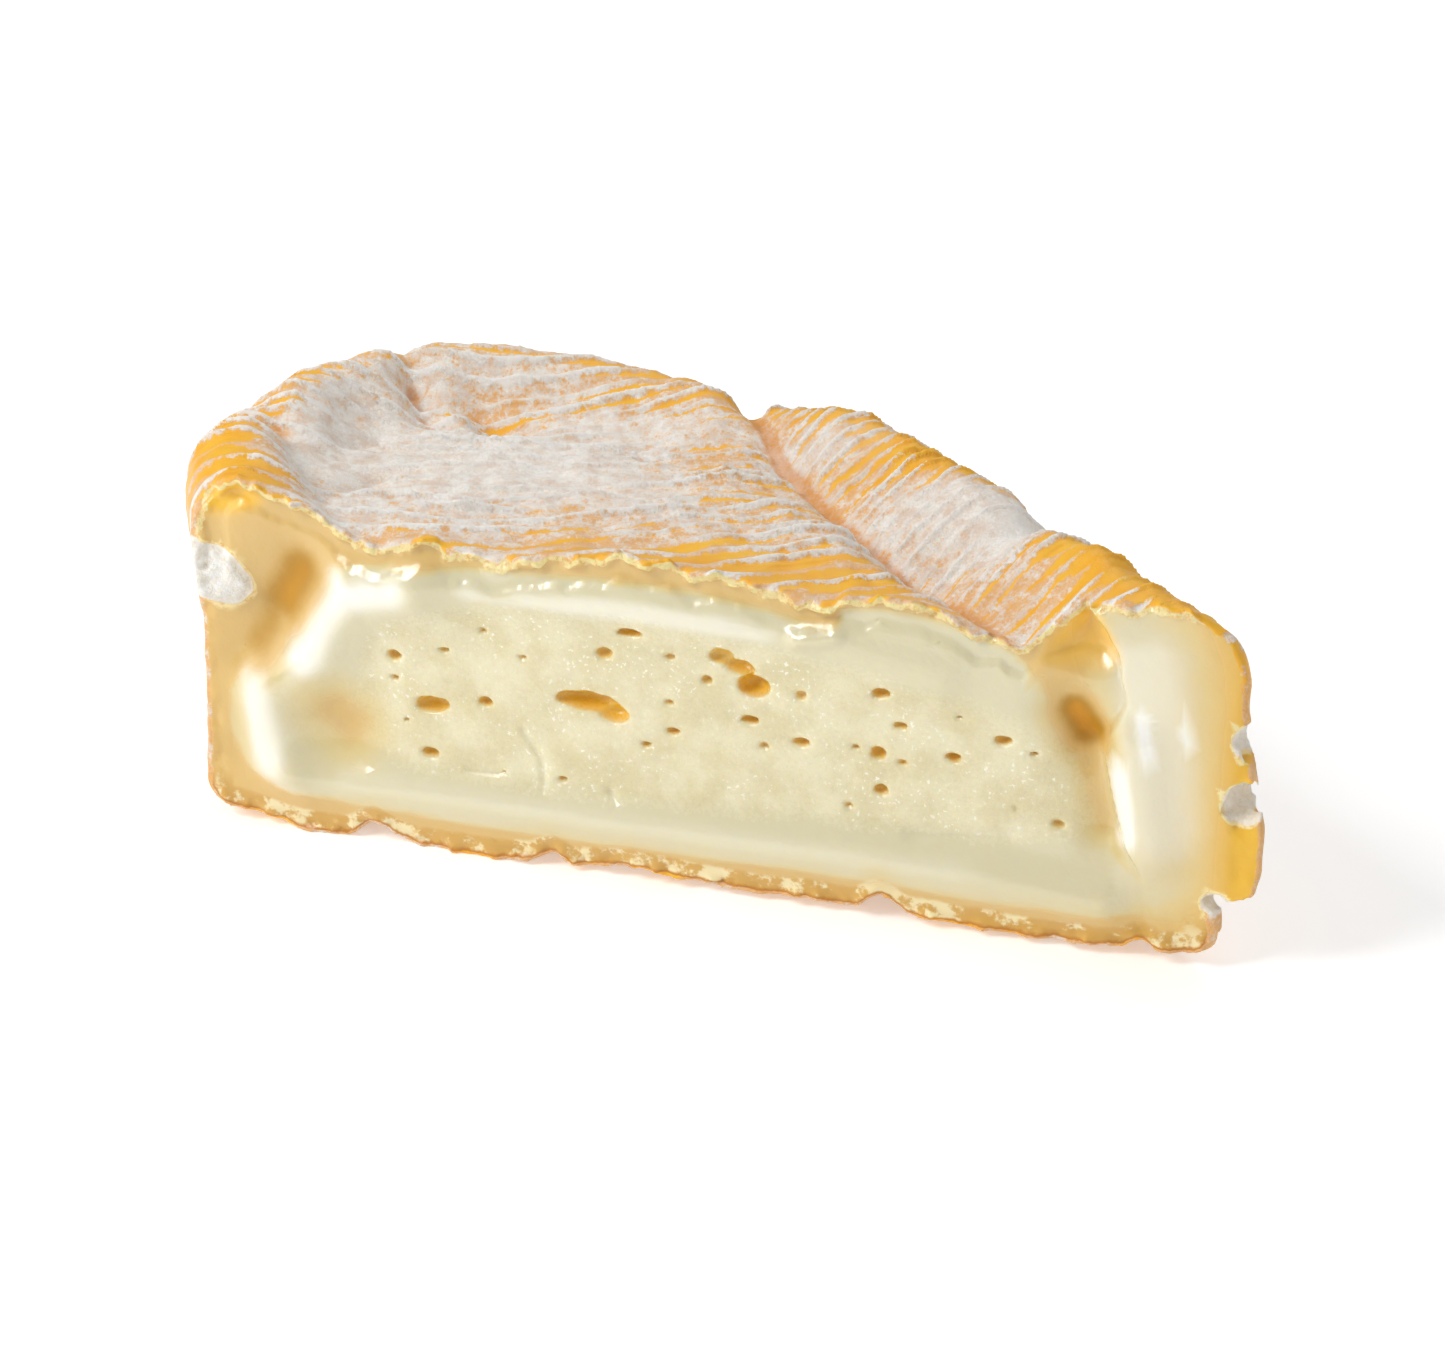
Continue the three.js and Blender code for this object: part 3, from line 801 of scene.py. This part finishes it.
def cheese_material():
    material = bpy.data.materials.new("cheese")
    material.use_nodes = True
    n = Nodes(material.node_tree)
    shader = material.node_tree.nodes["Principled BSDF"]

    rind, shows, crest = rind_colour(n)
    paste, in_core = paste_colour(n)
    depth = n.add(n.attribute("depth"), n.maths("MULTIPLY_ADD", n.noise(0.8, 3), 0.5, -0.25))
    crumb = n.mix(n.ramp(n.noise(0.9, 4, rough=0.7), 0.45, 0.75), srgb(246, 228, 166), srgb(222, 164, 62))
    crust = n.add(depth, n.maths("MULTIPLY_ADD", n.noise(1.3, 3), 1.4, -0.7))
    crust = n.add(crust, n.times(n.attribute("sides"), 0.9))
    paste = n.mix(n.ramp(crust, 1.15, 0.95), paste, crumb)
    paste = n.mix(n.ramp(n.attribute("mould"), 0.1, 0.3), paste, crumb)
    # Along the bottom the rind is glassy and golden, with pale crumbs stuck to it.
    under = n.times(n.attribute("under"), n.ramp(depth, 2.9, 2.2))
    glassy = n.mix(n.ramp(depth, 0.9, 0.4), srgb(212, 168, 84), srgb(188, 120, 28))
    pale = n.ramp(n.noise(3.2, 5, rough=0.65), 0.47, 0.57)
    glassy = n.mix(n.times(pale, n.ramp(depth, 0.5, 0.9)), glassy, srgb(240, 226, 180))
    paste = n.mix(under, paste, glassy)
    is_rind = n.maths("MAXIMUM", n.ramp(depth, 0.5, 0.28), n.ramp(n.attribute("mould"), 0.35, 0.6))
    patchy = n.ramp(n.noise(0.8, 4, rough=0.7), 0.35, 0.65)
    white = n.mix(patchy, srgb(246, 238, 224), srgb(255, 253, 248))
    rind = n.mix(n.ramp(n.attribute("mould"), 0.35, 0.6), rind, white)
    n.put(n.mix(is_rind, paste, rind), shader.inputs["Base Color"])

    rind_rough = n.ramp(shows, 0, 1, 0.9, 0.42)
    core_rough = n.ramp(n.noise(0.5, 2), 0.35, 0.65, 0.22, 0.5)
    paste_rough = n.mix(in_core, n.ramp(n.attribute("warmth_and_hollow_shade"), 0.35, 0.7, 0.24, 0.5), core_rough)
    roughness = n.mix(is_rind, paste_rough, rind_rough)
    n.put(roughness, shader.inputs["Roughness"])

    fuzz = n.add(n.noise(0.28, 4, rough=0.7, warp=0.6), n.times(n.noise(1.1, 3), 0.8))
    normal = n.bump(fuzz, 0.3, n.times(is_rind, n.ramp(shows, 0, 1, 0.9, 0.25)))
    normal = n.bump(crest, 0.12, is_rind, normal)
    grain = n.add(n.noise(0.45, 3, rough=0.6), n.times(n.noise(1.3, 2), 0.8))
    drag = n.noise(0.4, 2, stretch=(0, (1, 1, 0.07)))
    grain = n.add(grain, n.times(drag, 0.25))
    in_paste = n.ramp(is_rind, 1, 0)
    normal = n.bump(grain, 0.09, n.times(in_paste, n.ramp(in_core, 0, 1, 0.1, 0.7)), normal)
    normal = n.bump(n.noise(1.3, 2), 0.08, n.times(in_paste, n.ramp(in_core, 0, 0.5, 1, 0)), normal)
    normal = n.bump(n.noise(0.6, 4, rough=0.75), 0.35, n.times(in_paste, n.ramp(crust, 1.3, 0.9)), normal)
    n.put(normal, shader.inputs["Normal"])

    wet = n.times(n.ramp(in_core, 0, 1, 1.0, 0.55), n.ramp(n.attribute("warmth_and_hollow_shade"), 0.3, 0.7, 1.0, 0.0))
    n.put(n.times(in_paste, wet), shader.inputs["Coat Weight"])
    shader.inputs["Coat Roughness"].default_value = 0.18
    n.put(n.ramp(is_rind, 0, 1, 0.5, 0.12), shader.inputs["Subsurface Weight"])
    shader.inputs["Subsurface Radius"].default_value = (1.0, 0.75, 0.35)
    shader.inputs["Subsurface Scale"].default_value = 1.5 * MM
    shader.inputs["IOR"].default_value = 1.45
    return material


# ---------------------------------------------------------------- stage, lights and camera
CAMERA_TURN = 18.25  # degrees to the right of straight in front of the cut
CAMERA_RISE = 25.0  # degrees above the horizon
CAMERA_REACH = 350.0
CAMERA_TARGET = (3.18, 0.0, 24.9)
CAMERA_LENS = 83.7
LIGHTS_TARGET = Vector((0, 0, 0.02))


def direction(turn, rise):
    a, e = math.radians(turn), math.radians(rise)
    return Vector((math.sin(a) * math.cos(e), -math.cos(a) * math.cos(e), math.sin(e)))


def row_point(place):
    """A place in the cheese's coordinates, in millimetres, as a point of the row frame in metres."""
    return Vector(place) * MM + row_shift


def move_to_row_frame(mesh):
    """Turns millimetres in the cheese's coordinates into metres in the row frame."""
    places = vertex_places(mesh) * MM + np.array(row_shift, np.float32)
    mesh.vertices.foreach_set("co", places.ravel())


def add_camera():
    data = bpy.data.cameras.new("camera")
    data.lens = CAMERA_LENS
    data.clip_start = 0.01
    camera = bpy.data.objects.new("camera", data)
    back = direction(CAMERA_TURN, CAMERA_RISE)
    camera.location = row_point(CAMERA_TARGET) + back * CAMERA_REACH * MM
    camera.rotation_euler = (-back).to_track_quat("-Z", "Y").to_euler()
    bpy.context.scene.collection.objects.link(camera)
    bpy.context.scene.camera = camera


def add_light(name, turn, rise, distance, size, watts):
    data = bpy.data.lights.new(name, "AREA")
    data.shape = "RECTANGLE"
    data.size, data.size_y = size
    data.energy = watts
    light = bpy.data.objects.new(name, data)
    back = direction(turn, rise)
    light.location = LIGHTS_TARGET + back * distance
    light.rotation_euler = (-back).to_track_quat("-Z", "Y").to_euler()
    bpy.context.scene.collection.objects.link(light)


def add_floor():
    mesh = bpy.data.meshes.new("floor")
    reach = 3.0
    corners = [(-reach, -reach, 0), (reach, -reach, 0), (reach, reach, 0), (-reach, reach, 0)]
    mesh.from_pydata(corners, [], [(0, 1, 2, 3)])
    floor = bpy.data.objects.new("floor", mesh)
    material = bpy.data.materials.new("floor")
    material.use_nodes = True
    shader = material.node_tree.nodes["Principled BSDF"]
    shader.inputs["Base Color"].default_value = (0.94, 0.94, 0.94, 1)
    shader.inputs["Roughness"].default_value = 0.9
    shader.inputs["Emission Color"].default_value = (1, 1, 1, 1)
    shader.inputs["Emission Strength"].default_value = 0.3
    shader.inputs["Specular IOR Level"].default_value = 0.1
    mesh.materials.append(material)
    bpy.context.scene.collection.objects.link(floor)


def add_world():
    world = bpy.data.worlds.new("studio")
    world.use_nodes = True
    background = world.node_tree.nodes["Background"]
    background.inputs["Color"].default_value = (1, 1, 1, 1)
    background.inputs["Strength"].default_value = 0.32
    bpy.context.scene.world = world


# ---------------------------------------------------------------- the scene
node_low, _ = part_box(NODE)
outline_left = closed_curve(OUTLINE)[:, 0].min()
row_shift = Vector((node_low.x - outline_left * MM, node_low.y, node_low.z))

cheese = cheese_mesh()
paint(cheese)
move_to_row_frame(cheese.data)
cheese.data.shade_smooth()
cheese.data.materials.clear()
cheese.data.materials.append(cheese_material())
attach(cheese, "root")
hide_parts(NODE)

add_camera()
add_floor()
add_world()
add_light("key", -48, 42, 0.7, (0.25, 0.3), 2.7)
add_light("gloss", -60, 12, 0.7, (0.25, 0.3), 0.45)
add_light("fill", 60, 30, 0.9, (0.6, 0.6), 0.7)
add_light("top", 170, 60, 0.8, (0.6, 0.6), 2.1)
bpy.context.scene.view_settings.view_transform = "Standard"
